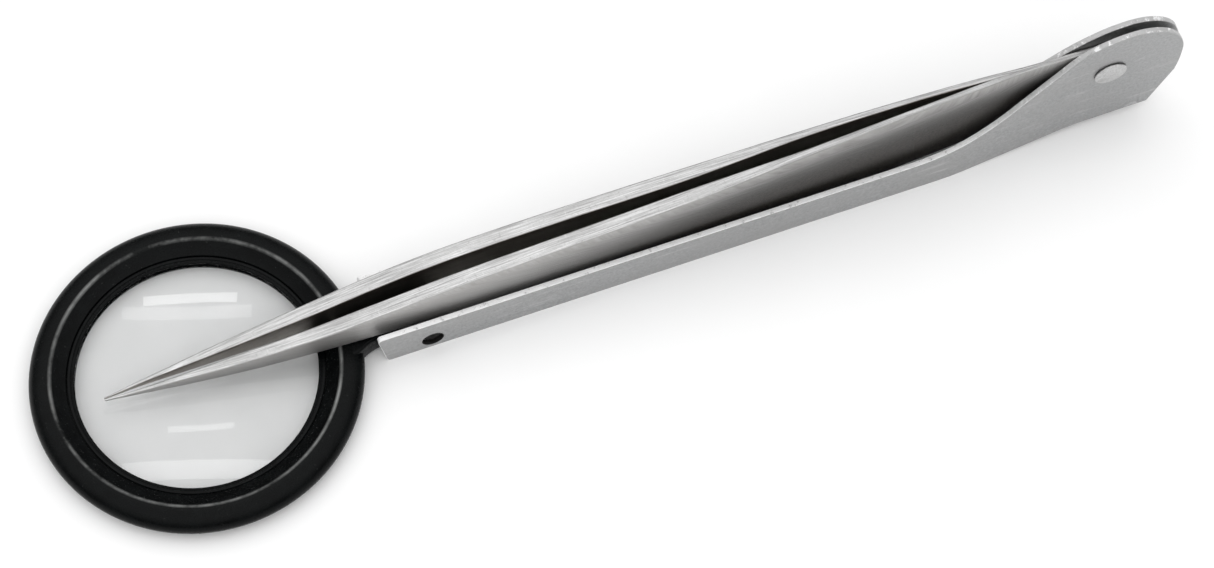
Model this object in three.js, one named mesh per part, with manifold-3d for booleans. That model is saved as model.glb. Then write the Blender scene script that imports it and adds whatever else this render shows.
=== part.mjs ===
// Stamp tongs with a folding magnifier, in millimetres, +Z up.
//
// Two sprung steel leaves, welded together at the rear, make the tongs. A fork of two stamped
// side plates is riveted over their rear end, and its front end carries a round magnifier that
// tilts on a cross pin. The tongs are shown folded down into the fork, with their tips over
// the lens. +X points from the lens to the rivet, and Y = 0 is the plane of symmetry.

import * as THREE from 'three';
import { mergeVertices } from 'three/addons/utils/BufferGeometryUtils.js';
import Module from 'manifold-3d';

const wasm = await Module();
wasm.setup();

// ---- Driving dimensions -------------------------------------------------------------------

// Side plates of the fork. X is measured from the rivet, which is at the rear.
const PLATE_SHEET = 0.6;
const STRAP_HEIGHT = 5.35;
const STRAP_FRONT_X = -81.7;
const STRAP_BEND_X = -17.4;       // the straps turn in towards the ears here
const EAR_FLAT_X = -3.2;          // the ears are parallel from here to their rear edge
const HALF_GAP_FRONT = 3.35;      // half the clear width between the plates
const HALF_GAP_BEND = 1.7;
const HALF_GAP_EAR = 0.4;
const EAR_TOP = new THREE.Vector2(2.0, 17.8);
const EAR_REAR_RADIUS = 6.2;
const EAR_FRONT_RADIUS = 10.6;
const EAR_FILLET_RADIUS = 17.0;
const EAR_SLOPE = 44 * Math.PI / 180;
const EAR_CORNER = new THREE.Vector2(5.45, 1.45);

// Rivet through the ears and both leaves.
const RIVET_Z = 11.06;
const RIVET_RADIUS = 1.25;
const RIVET_HOLE_RADIUS = 1.33;
const RIVET_HEAD_RADIUS = 1.88;
const RIVET_HEAD_HEIGHT = 0.42;
const RIVET_HEAD_GAP = 0.04;

// Cross pin at the front of the fork.
const PIN_X = -75.9;
const PIN_Z = 1.8;
const PIN_RADIUS = 1.05;
const PIN_HALF_LENGTH = 3.42;
const PIN_CHAMFER = 0.25;
const PIN_HOLE_RADIUS = 1.14;

// Magnifier: black lens frame, lens and the ring that keeps the lens in.
const LENS_CENTRE_X = -100.46;
const FRAME_RADIUS = 17.5;
const FRAME_THICKNESS = 3.1;
const FRAME_CREST_RADIUS = 15.35;
const SIGHT_RADIUS = 12.72;       // clear radius of the lens
const LENS_RADIUS = 13.0;
const LENS_EDGE = 0.8;
const LENS_SAG = 0.6;             // crown of each lens face
const LENS_MID_Z = 1.3;
const KEEPER_RADIUS = 13.45;      // outside of the ring that keeps the lens in
const FIT_GAP = 0.1;
const RING_SEGMENTS = 64;
const LUG_TOP = 3.05;
const LUG_BOTTOM = 0.45;
const LUG_HALF_WIDTH = 2.3;
const BOSS_HALF_WIDTH = 3.05;
const BOSS_RADIUS = 1.45;

// Tongs. S is the distance from the rivet to a point of the leaf, along its centre line.
const TONGS_LENGTH = 110.6;
const TONGS_TIP_Z = 2.62;         // height of the tips over the surface, when folded down
const LEAF_REAR_RADIUS = 4.5;
const LEAF_HALF_GAP = 0.05;       // half the gap between the leaves where they are welded
const RELEASE_S = 13.2;           // the weld ends here and the leaves start to flex
const SQUEEZE_S = 22.0;
const SEGMENT_GAP = 0.3;
const LEAF_STEPS_PER_MM = 0.42;
const TONGS_PITCH = Math.asin((RIVET_Z - TONGS_TIP_Z) / TONGS_LENGTH);

// Leaf profiles as (S, value) stations: the edge above and below the centre line, the middle
// of the leaf's thickness away from the plane of symmetry, and its thickness.
const LEAF_TOP = [[0, 4.5], [11, 5.35], [20, 5.6], [30, 5.4], [47, 4.65], [65, 4.3],
  [73.5, 3.9], [80, 3.15], [87.5, 2.05], [95, 1.3], [103.5, 0.66], [108.5, 0.25],
  [TONGS_LENGTH, 0.12]];
const LEAF_BOTTOM = [[0, 4.5], [11, 5.0], [20, 5.6], [33, 5.6], [47, 4.8], [65, 2.9],
  [76, 1.75], [82, 1.35], [88, 1.15], [95, 1.02], [100, 0.8], [104, 0.55], [108.5, 0.22],
  [TONGS_LENGTH, 0.12]];
const LEAF_MIDDLE = [[0, 0.2], [8.6, 0.2], [RELEASE_S, 0.345], [21, 0.67], [33, 1.11],
  [45, 1.27], [57, 1.49], [69, 1.63], [81, 1.6], [93, 1.23], [105, 0.57],
  [TONGS_LENGTH, 0.12]];
const LEAF_THICKNESS = [[0, 0.3], [8.6, 0.3], [RELEASE_S, 0.58], [21, 0.68], [33, 0.88],
  [39, 1.2], [48, 1.6], [60, 1.66], [81, 1.7], [87, 1.62], [93, 1.38], [99, 1.0],
  [105, 0.54], [TONGS_LENGTH, 0.14]];

// The object's origin is the middle of its footprint.
const FRONT_X = LENS_CENTRE_X - FRAME_RADIUS;
const REAR_X = EAR_TOP.x + EAR_REAR_RADIUS;
const ORIGIN_X = (FRONT_X + REAR_X) / 2;

const TALL = 60;                  // longer than any cut that has to go right through

const satinSteel = new THREE.MeshStandardMaterial(
  { color: 0xc4c4c2, roughness: 0.38, metalness: 1.0 });
const plateSteel = new THREE.MeshStandardMaterial(
  { color: 0xb4b4b3, roughness: 0.52, metalness: 1.0 });
const rivetSteel = new THREE.MeshStandardMaterial(
  { color: 0xc0c0be, roughness: 0.42, metalness: 1.0 });
const pinSteel = new THREE.MeshStandardMaterial(
  { color: 0x77776f, roughness: 0.45, metalness: 1.0 });
const blackPlastic = new THREE.MeshStandardMaterial(
  { color: 0x17191b, roughness: 0.46, metalness: 0.0 });
const lensPlastic = new THREE.MeshStandardMaterial(
  { color: 0xe9eaea, roughness: 0.04, metalness: 0.0, transparent: true, opacity: 0.35 });

// ---- Helpers ------------------------------------------------------------------------------

// A geometry with only positions and shared vertices, its faces turned outwards.
function closedGeometry(geometry) {
  const bare = geometry.clone();
  bare.deleteAttribute('normal');
  bare.deleteAttribute('uv');
  const merged = mergeVertices(bare, 1e-4);
  const points = merged.attributes.position;
  const index = merged.index.array;
  const corners = [new THREE.Vector3(), new THREE.Vector3(), new THREE.Vector3()];
  const kept = [];
  let volume = 0;
  for (let i = 0; i < index.length; i += 3) {
    const [a, b, c] = [index[i], index[i + 1], index[i + 2]];
    if (a !== b && b !== c && c !== a) {
      [a, b, c].forEach((corner, k) => corners[k].fromBufferAttribute(points, corner));
      volume += corners[0].dot(corners[1].cross(corners[2]));
      kept.push(a, b, c);
    }
  }
  if (volume < 0) kept.reverse();
  merged.setIndex(kept);
  return merged;
}

function toSolid(geometry) {
  const closed = closedGeometry(geometry);
  return new wasm.Manifold(new wasm.Mesh({
    numProp: 3,
    vertProperties: new Float32Array(closed.attributes.position.array),
    triVerts: new Uint32Array(closed.index.array),
  }));
}

function toGeometry(solid) {
  const mesh = solid.getMesh();
  const geometry = new THREE.BufferGeometry();
  geometry.setAttribute('position', new THREE.BufferAttribute(mesh.vertProperties, 3));
  geometry.setIndex(new THREE.BufferAttribute(mesh.triVerts, 1));
  geometry.computeVertexNormals();
  return geometry;
}

function extruded(outline, depth, curveSegments) {
  return new THREE.ExtrudeGeometry(outline, { depth, bevelEnabled: false, curveSegments });
}

// A prism whose outline is drawn in X and Z, and which runs right through along Y.
function sidePrism(outline, curveSegments = 12) {
  return extruded(outline, TALL, curveSegments).translate(0, 0, -TALL / 2)
    .rotateX(Math.PI / 2);
}

// A prism whose outline is drawn in X and Y, between two heights.
function planPrism(outline, low, high, curveSegments = 12) {
  return extruded(outline, high - low, curveSegments).translate(0, 0, low);
}

// A round bar along Y.
function crossBar(x, z, radius, length, segments = 32) {
  return new THREE.CylinderGeometry(radius, radius, length, segments).translate(x, 0, z);
}

// A solid of revolution about a vertical axis, from a closed profile of (radius, height).
function turned(profile, segments = RING_SEGMENTS) {
  return new THREE.LatheGeometry(profile, segments).rotateX(Math.PI / 2);
}

function polygon(points) {
  return new THREE.Shape(points.map(([x, y]) => new THREE.Vector2(x, y)));
}

function piece(name, geometry, material) {
  const mesh = new THREE.Mesh(geometry, material);
  mesh.name = name;
  return mesh;
}

// The value at S of a smooth curve through (S, value) stations.
function stationCurve(stations) {
  const last = stations.length - 1;
  const slope = (i) => {
    const [s0, v0] = stations[Math.max(i - 1, 0)];
    const [s1, v1] = stations[Math.min(i + 1, last)];
    return (v1 - v0) / (s1 - s0);
  };
  return (s) => {
    const next = stations.findIndex(([station]) => station >= s);
    const i = Math.max(next < 0 ? last : next, 1);
    const [s0, v0] = stations[i - 1];
    const [s1, v1] = stations[i];
    const span = s1 - s0;
    const u = THREE.MathUtils.clamp((s - s0) / span, 0, 1);
    const rise = (2 * u - 3) * u * u;
    return v0 * (1 + rise) - v1 * rise + slope(i - 1) * span * u * (1 - u) * (1 - u)
      + slope(i) * span * u * u * (u - 1);
  };
}

// ---- Fork: two side plates and the rivet ---------------------------------------------------

// Side view of a plate: a straight strap that sweeps up into a large rounded ear.
function plateOutline() {
  const front = STRAP_FRONT_X;
  const fillet = new THREE.Vector2(-22.5, STRAP_HEIGHT + EAR_FILLET_RADIUS);
  const crownZ = EAR_TOP.y - EAR_FRONT_RADIUS;
  const rearZ = EAR_TOP.y - EAR_REAR_RADIUS;
  const down = -Math.PI / 2;
  const up = Math.PI / 2;
  const outline = new THREE.Shape();
  outline.moveTo(front + 1.3, 0);
  outline.lineTo(STRAP_BEND_X, 0);
  outline.lineTo(EAR_CORNER.x, EAR_CORNER.y);
  outline.lineTo(7.85, 7.2);
  outline.quadraticCurveTo(REAR_X + 0.02, 9.0, REAR_X, rearZ);
  outline.absarc(EAR_TOP.x, rearZ, EAR_REAR_RADIUS, 0, up, false);
  outline.absarc(EAR_TOP.x, crownZ, EAR_FRONT_RADIUS, up, up + EAR_SLOPE, false);
  outline.absarc(fillet.x, fillet.y, EAR_FILLET_RADIUS, down + EAR_SLOPE, down, true);
  outline.lineTo(front + 0.5, STRAP_HEIGHT);
  outline.quadraticCurveTo(front, STRAP_HEIGHT, front, STRAP_HEIGHT - 0.5);
  outline.lineTo(front + 0.65, 0.6);
  outline.quadraticCurveTo(front + 0.75, 0, front + 1.3, 0);
  return outline;
}

// Plan view of a plate on the +Y side: sheet metal with two bends.
function platePlan() {
  const inner = [[STRAP_FRONT_X - 1, HALF_GAP_FRONT], [STRAP_BEND_X, HALF_GAP_BEND],
    [EAR_FLAT_X, HALF_GAP_EAR], [REAR_X + 1, HALF_GAP_EAR]];
  const outer = inner.map(([x, y]) => [x, y + PLATE_SHEET]).reverse();
  return polygon([...inner, ...outer]);
}

function sidePlate(name, side) {
  const sheet = planPrism(platePlan(), -1, EAR_TOP.y + 1);
  const holes = toSolid(crossBar(0, RIVET_Z, RIVET_HOLE_RADIUS, TALL))
    .add(toSolid(crossBar(PIN_X, PIN_Z, PIN_HOLE_RADIUS, TALL)));
  const solid = toSolid(sheet).intersect(toSolid(sidePrism(plateOutline())))
    .subtract(holes);
  const geometry = toGeometry(solid);
  if (side < 0) geometry.rotateZ(Math.PI).scale(-1, 1, 1);
  return piece(name, toGeometry(toSolid(geometry)), plateSteel);
}

// The rivet with its two low domed heads, turned about its own axis and laid along Y.
function pivotRivet() {
  const seat = HALF_GAP_EAR + PLATE_SHEET + RIVET_HEAD_GAP;
  const dome = [[1.0, 0.3], [0.86, 0.62], [0.55, 0.9], [0, 1]]
    .map(([r, h]) => [r * RIVET_HEAD_RADIUS, seat + h * RIVET_HEAD_HEIGHT]);
  const half = [[RIVET_RADIUS, 0], [RIVET_RADIUS, seat], [RIVET_HEAD_RADIUS, seat], ...dome];
  const mirrored = half.slice(1).reverse().map(([r, y]) => [r, -y]);
  const profile = [...mirrored, ...half].map(([r, y]) => new THREE.Vector2(r, y));
  const geometry = new THREE.LatheGeometry(profile, 32).translate(0, 0, RIVET_Z);
  return piece('pivot_rivet', closedGeometry(geometry), rivetSteel);
}

// ---- Magnifier ----------------------------------------------------------------------------

// Section of the frame: rounded outside, a crest on each face, a bevel down to the lens.
function frameSection() {
  const half = FRAME_THICKNESS / 2;
  const mid = half;
  const lensLow = LENS_MID_Z - LENS_EDGE / 2 - FIT_GAP;
  const lensHigh = LENS_MID_Z + LENS_EDGE / 2 + FIT_GAP;
  const outside = [];
  const bulge = FRAME_RADIUS - FRAME_CREST_RADIUS;
  const steps = 8;
  for (let i = 0; i <= steps; i += 1) {
    const angle = -Math.PI / 2 + Math.PI * i / steps;
    outside.push([FRAME_CREST_RADIUS + bulge * Math.cos(angle), mid + half * Math.sin(angle)]);
  }
  const inside = [
    [FRAME_CREST_RADIUS - 0.35, FRAME_THICKNESS - 0.1],
    [KEEPER_RADIUS + FIT_GAP, FRAME_THICKNESS - 0.85],
    [KEEPER_RADIUS + FIT_GAP, lensHigh],
    [LENS_RADIUS + FIT_GAP, lensHigh],
    [LENS_RADIUS + FIT_GAP, lensLow],
    [SIGHT_RADIUS, lensLow],
    [SIGHT_RADIUS, lensLow - 0.3],
    [FRAME_CREST_RADIUS - 0.8, 0],
  ];
  const loop = [...outside, ...inside, outside[0]];
  return loop.map(([r, z]) => new THREE.Vector2(r, z));
}

// The lug that reaches back between the side plates, with a round boss on the pin.
function frameLug() {
  const ringX = LENS_CENTRE_X + FRAME_CREST_RADIUS;
  const half = [[ringX, 3.6], [ringX + 2.6, 2.75], [STRAP_FRONT_X, LUG_HALF_WIDTH],
    [PIN_X, LUG_HALF_WIDTH]];
  const other = half.map(([x, y]) => [x, -y]).reverse();
  const neck = toSolid(planPrism(polygon([...half, ...other]), LUG_BOTTOM, LUG_TOP));
  const boss = toSolid(crossBar(PIN_X, PIN_Z, BOSS_RADIUS, 2 * BOSS_HALF_WIDTH));
  return neck.add(boss);
}

function lensFrame() {
  const ring = toSolid(turned(frameSection()).translate(LENS_CENTRE_X, 0, 0));
  const bore = toSolid(crossBar(PIN_X, PIN_Z, PIN_RADIUS + FIT_GAP / 2, TALL));
  const solid = ring.add(frameLug()).subtract(bore);
  return piece('lens_frame', toGeometry(solid), blackPlastic);
}

// A biconvex lens with a short cylindrical edge.
function lens() {
  const rings = 6;
  const face = (side) => {
    const points = [];
    for (let i = 0; i <= rings; i += 1) {
      const r = LENS_RADIUS * i / rings;
      const crown = LENS_SAG * (1 - (r / LENS_RADIUS) ** 2);
      points.push(new THREE.Vector2(r, LENS_MID_Z + side * (LENS_EDGE / 2 + crown)));
    }
    return points;
  };
  const profile = [...face(-1), ...face(1).reverse()];
  const geometry = turned(profile).translate(LENS_CENTRE_X, 0, 0);
  return piece('lens', closedGeometry(geometry), lensPlastic);
}

// The ring pressed in over the lens, with a sloping inner face.
function lensKeeper() {
  const low = LENS_MID_Z + LENS_EDGE / 2 + FIT_GAP + 0.06;
  const profile = [[SIGHT_RADIUS, low], [KEEPER_RADIUS, low], [KEEPER_RADIUS, low + 0.36],
    [SIGHT_RADIUS + 0.12, low + 0.3], [SIGHT_RADIUS, low + 0.2], [SIGHT_RADIUS, low]];
  const points = profile.map(([r, z]) => new THREE.Vector2(r, z));
  const geometry = turned(points).translate(LENS_CENTRE_X, 0, 0);
  return piece('lens_retaining_ring', closedGeometry(geometry), blackPlastic);
}

function crossPin() {
  const end = PIN_HALF_LENGTH;
  const nose = PIN_RADIUS - PIN_CHAMFER;
  const profile = [[0, -end], [nose, -end], [PIN_RADIUS, PIN_CHAMFER - end],
    [PIN_RADIUS, end - PIN_CHAMFER], [nose, end], [0, end]];
  const points = profile.map(([r, y]) => new THREE.Vector2(r, y));
  const geometry = new THREE.LatheGeometry(points, 32).translate(PIN_X, 0, PIN_Z);
  return piece('lens_tilt_pin', closedGeometry(geometry), pinSteel);
}

// ---- Tongs --------------------------------------------------------------------------------

const leafTop = stationCurve(LEAF_TOP);
const leafBottom = stationCurve(LEAF_BOTTOM);
const leafMiddle = stationCurve(LEAF_MIDDLE);
const leafThickness = stationCurve(LEAF_THICKNESS);

// Evenly spaced values of S over one stretch of a leaf.
function leafStations(from, to) {
  const steps = Math.max(3, Math.round((to - from) * LEAF_STEPS_PER_MM));
  return Array.from({ length: steps + 1 }, (_, i) => from + (to - from) * i / steps);
}

// Side view of the whole leaf blank, with the rivet at the origin and the tip towards -X.
function leafOutline() {
  const stations = leafStations(0, TONGS_LENGTH);
  const top = stations.map((s) => new THREE.Vector2(-s, leafTop(s)));
  const bottom = stations.map((s) => new THREE.Vector2(-s, -leafBottom(s))).reverse();
  const outline = new THREE.Shape([...top, ...bottom]);
  outline.absarc(0, 0, LEAF_REAR_RADIUS, -Math.PI / 2, Math.PI / 2, false);
  return outline;
}

// Plan view of one stretch of the far leaf: it bows out from the plane of symmetry.
function leafPlan(from, to) {
  const stations = leafStations(from, to);
  const inner = (s) => Math.max(leafMiddle(Math.max(s, 0)) - leafThickness(Math.max(s, 0)) / 2,
    LEAF_HALF_GAP);
  const outer = (s) => leafMiddle(Math.max(s, 0)) + leafThickness(Math.max(s, 0)) / 2;
  const inside = stations.map((s) => [-s, inner(s)]);
  const outside = stations.map((s) => [-s, outer(s)]).reverse();
  return polygon([...inside, ...outside]);
}

function leafPiece(name, side, from, to) {
  const bowed = toSolid(planPrism(leafPlan(from, to), -TALL / 4, TALL / 4));
  const blank = toSolid(sidePrism(leafOutline(), 16));
  const bore = toSolid(crossBar(0, 0, RIVET_HOLE_RADIUS, TALL));
  const geometry = toGeometry(bowed.intersect(blank).subtract(bore));
  if (side < 0) geometry.rotateZ(Math.PI).scale(-1, 1, 1);
  return piece(name, toGeometry(toSolid(geometry)), satinSteel);
}

// One leaf in three rigid stretches: the welded root, the part that flexes, and the arm.
function leaf(label, side) {
  const gap = SEGMENT_GAP / 2;
  const rear = -LEAF_REAR_RADIUS - 1;
  return [
    leafPiece(`${label}_leaf_root`, side, rear, RELEASE_S - gap),
    leafPiece(`${label}_leaf_spring`, side, RELEASE_S + gap, SQUEEZE_S - gap),
    leafPiece(`${label}_leaf_arm`, side, SQUEEZE_S + gap, TONGS_LENGTH),
  ];
}

// ---- Assembly -----------------------------------------------------------------------------

const tongs = new THREE.Group();
tongs.add(...leaf('near', -1), ...leaf('far', 1));
tongs.position.set(0, 0, RIVET_Z);
tongs.rotation.set(0, -TONGS_PITCH, 0);

const fork = new THREE.Group();
fork.add(sidePlate('near_side_plate', -1), sidePlate('far_side_plate', 1), pivotRivet());

const magnifier = new THREE.Group();
magnifier.add(lensFrame(), lens(), lensKeeper(), crossPin());

const object = new THREE.Group();
object.add(fork, magnifier, tongs);
object.position.set(-ORIGIN_X, 0, 0);

export default object;
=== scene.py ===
# Stamp tongs folded into a fork with a small round magnifier: the visible surfaces, the lights
# and the camera. Sizes below are in millimetres, lengths along the fork are measured from the
# rivet's axis, and every mesh is moved into the frame's metres when it is made.
import math

import bmesh
import bpy
import numpy as np
from mathutils import Matrix, Vector
from mathutils.geometry import delaunay_2d_cdt


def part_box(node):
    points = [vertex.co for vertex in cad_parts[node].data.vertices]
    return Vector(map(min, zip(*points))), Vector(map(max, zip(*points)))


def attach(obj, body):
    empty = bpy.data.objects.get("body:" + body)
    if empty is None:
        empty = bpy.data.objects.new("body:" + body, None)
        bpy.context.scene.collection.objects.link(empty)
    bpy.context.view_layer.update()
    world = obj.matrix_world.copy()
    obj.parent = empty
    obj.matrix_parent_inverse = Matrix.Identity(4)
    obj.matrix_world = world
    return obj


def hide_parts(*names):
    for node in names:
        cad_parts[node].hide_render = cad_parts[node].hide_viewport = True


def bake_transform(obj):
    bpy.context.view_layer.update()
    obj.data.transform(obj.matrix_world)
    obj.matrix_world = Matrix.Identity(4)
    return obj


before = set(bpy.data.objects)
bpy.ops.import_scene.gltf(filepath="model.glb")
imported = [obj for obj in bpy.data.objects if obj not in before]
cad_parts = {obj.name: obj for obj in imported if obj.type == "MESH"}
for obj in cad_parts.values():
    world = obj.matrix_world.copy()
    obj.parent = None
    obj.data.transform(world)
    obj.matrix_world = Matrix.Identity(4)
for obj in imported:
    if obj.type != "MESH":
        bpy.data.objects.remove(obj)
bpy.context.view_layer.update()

MM = 0.001


def node_centre(node):
    low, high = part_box(node)
    return (low + high) / 2 / MM


# ---- Places from the frame and driving sizes ------------------------------------------------

RIVET = node_centre("pivot_rivet")
PIN = node_centre("lens_tilt_pin")
LENS = node_centre("lens")
FRAME_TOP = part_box("lens_frame")[1].z / MM

PLATE_SHEET = 0.6
STRAP_HEIGHT = 5.35
STRAP_FRONT_X = -81.7
STRAP_BEND_X = -17.4
EAR_FLAT_X = -3.2
HALF_GAP_FRONT = 3.35
HALF_GAP_BEND = 1.7
HALF_GAP_EAR = 0.4
EAR_TOP = (2.0, 17.8)
EAR_REAR_RADIUS = 6.2
EAR_FRONT_RADIUS = 10.6
EAR_FILLET_RADIUS = 17.0
EAR_SLOPE = math.radians(44)
EAR_CORNER = (5.45, 1.45)
EAR_REAR_X = EAR_TOP[0] + EAR_REAR_RADIUS
EDGE_ROUND = 0.075

RIVET_RADIUS = 1.25
RIVET_HOLE_RADIUS = 1.33
RIVET_HEAD_RADIUS = 1.8
RIVET_HEAD_HEIGHT = 0.34
PIN_RADIUS = 1.05
PIN_HOLE_RADIUS = 1.14
PIN_HALF_LENGTH = 3.42

FRAME_RADIUS = 17.5
FRAME_CREST_RADIUS = 15.35
FRAME_HIGHLIGHT_RADIUS = 15.15            # the painted highlight line round the crest
SIGHT_RADIUS = 12.72
LENS_RADIUS = 13.0
LENS_EDGE = 0.8
LENS_SAG = 0.6
KEEPER_RADIUS = 13.45
BOSS_RADIUS = 1.45
BOSS_HALF_WIDTH = 3.05

TONGS_LENGTH = 110.6
LEAF_REAR_RADIUS = 4.5
LEAF_HALF_GAP = 0.006
RELEASE_S = 13.2
BLADE_S = 22.0                     # the heel piece ends and the blade piece starts here
BLADE_GAP = 0.01
TONGS_PITCH = math.asin((11.06 - 2.62) / TONGS_LENGTH)
# Pairs of the distance from the rivet towards the tips and, there, the leaf's height above its
# centre line, its depth below it, the middle of its thickness and its thickness.
LEAF_TOP = [(0, 4.5), (11, 5.35), (20, 5.6), (30, 5.4), (47, 4.65), (65, 4.3), (73.5, 3.9),
            (80, 3.15), (87.5, 2.05), (95, 1.3), (103.5, 0.66), (108.5, 0.25),
            (TONGS_LENGTH, 0.12)]
LEAF_BOTTOM = [(0, 4.5), (11, 5.0), (20, 5.6), (33, 5.6), (47, 4.8), (65, 2.9), (76, 1.75),
               (82, 1.35), (88, 1.15), (95, 1.02), (100, 0.8), (104, 0.55), (108.5, 0.22),
               (TONGS_LENGTH, 0.12)]
LEAF_MIDDLE = [(0, 0.178), (8.6, 0.178), (RELEASE_S, 0.33), (21, 0.67), (33, 1.11), (45, 1.27),
               (57, 1.49), (69, 1.63), (81, 1.6), (93, 1.23), (105, 0.57),
               (TONGS_LENGTH, 0.12)]
LEAF_THICKNESS = [(0, 0.344), (8.6, 0.344), (RELEASE_S, 0.63), (21, 0.68), (33, 0.88), (39, 1.2),
                  (48, 1.6), (60, 1.66), (81, 1.7), (87, 1.62), (93, 1.38), (99, 1.0),
                  (105, 0.54), (TONGS_LENGTH, 0.14)]


# ---- Materials -------------------------------------------------------------------------------

def fill_ramp(node, levels):
    """Sets a colour ramp's greys from pairs of place and level."""
    elements = node.color_ramp.elements
    while len(elements) < len(levels):
        elements.new(0.5)
    for element, (place, level) in zip(elements, levels):
        element.position = place
        element.color = (level, level, level, 1)


class Nodes:
    """A short way to write a node tree."""

    def __init__(self, name):
        self.material = bpy.data.materials.new(name)
        self.material.use_nodes = True
        self.tree = self.material.node_tree
        self.tree.nodes.clear()

    def add(self, kind, inputs=None, **settings):
        node = self.tree.nodes.new(kind)
        for key, value in settings.items():
            setattr(node, key, value)
        for key, value in (inputs or {}).items():
            if isinstance(value, bpy.types.NodeSocket):
                self.tree.links.new(value, node.inputs[key])
            else:
                node.inputs[key].default_value = value
        return node

    def noise(self, vector, scale, detail=4.0, roughness=0.55):
        made = self.add("ShaderNodeTexNoise", {"Vector": vector, "Scale": scale,
                                               "Detail": detail, "Roughness": roughness})
        return made.outputs[0]

    def stretched(self, vector, scale):
        return self.add("ShaderNodeMapping", {"Vector": vector, "Scale": scale}).outputs[0]

    def ramp(self, value, levels):
        made = self.add("ShaderNodeValToRGB", {0: value})
        fill_ramp(made, levels)
        return made.outputs[0]

    def rescaled(self, value, low, high, to_low, to_high):
        made = self.add("ShaderNodeMapRange", {"Value": value, "From Min": low,
                                               "From Max": high, "To Min": to_low,
                                               "To Max": to_high})
        return made.outputs[0]

    def mixed(self, factor, first, second, blend="MIX"):
        made = self.add("ShaderNodeMix", {0: factor, 6: first, 7: second},
                        data_type="RGBA", blend_type=blend)
        return made.outputs[2]

    def maths(self, operation, first, second=0.5):
        made = self.add("ShaderNodeMath", {0: first, 1: second}, operation=operation)
        return made.outputs[0]

    def bump(self, height, strength, distance, normal=None):
        inputs = {"Height": height, "Strength": strength, "Distance": distance}
        if normal is not None:
            inputs["Normal"] = normal
        return self.add("ShaderNodeBump", inputs).outputs[0]

    def place(self):
        """A point of the piece in its own coordinates, in metres."""
        return self.add("ShaderNodeTexCoord").outputs["Object"]

    def surface(self, colour, rough, normal, metal=0.0, shine=0.5):
        shader = self.add("ShaderNodeBsdfPrincipled", {
            "Base Color": colour, "Metallic": metal, "Roughness": rough, "Normal": normal,
            "Specular IOR Level": shine})
        return self.finish(shader.outputs[0])

    def finish(self, shader):
        self.add("ShaderNodeOutputMaterial", {"Surface": shader})
        return self.material


def grey(level, warmth=0.0):
    return (level * (1 + warmth), level, level * (1 - warmth), 1)


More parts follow.
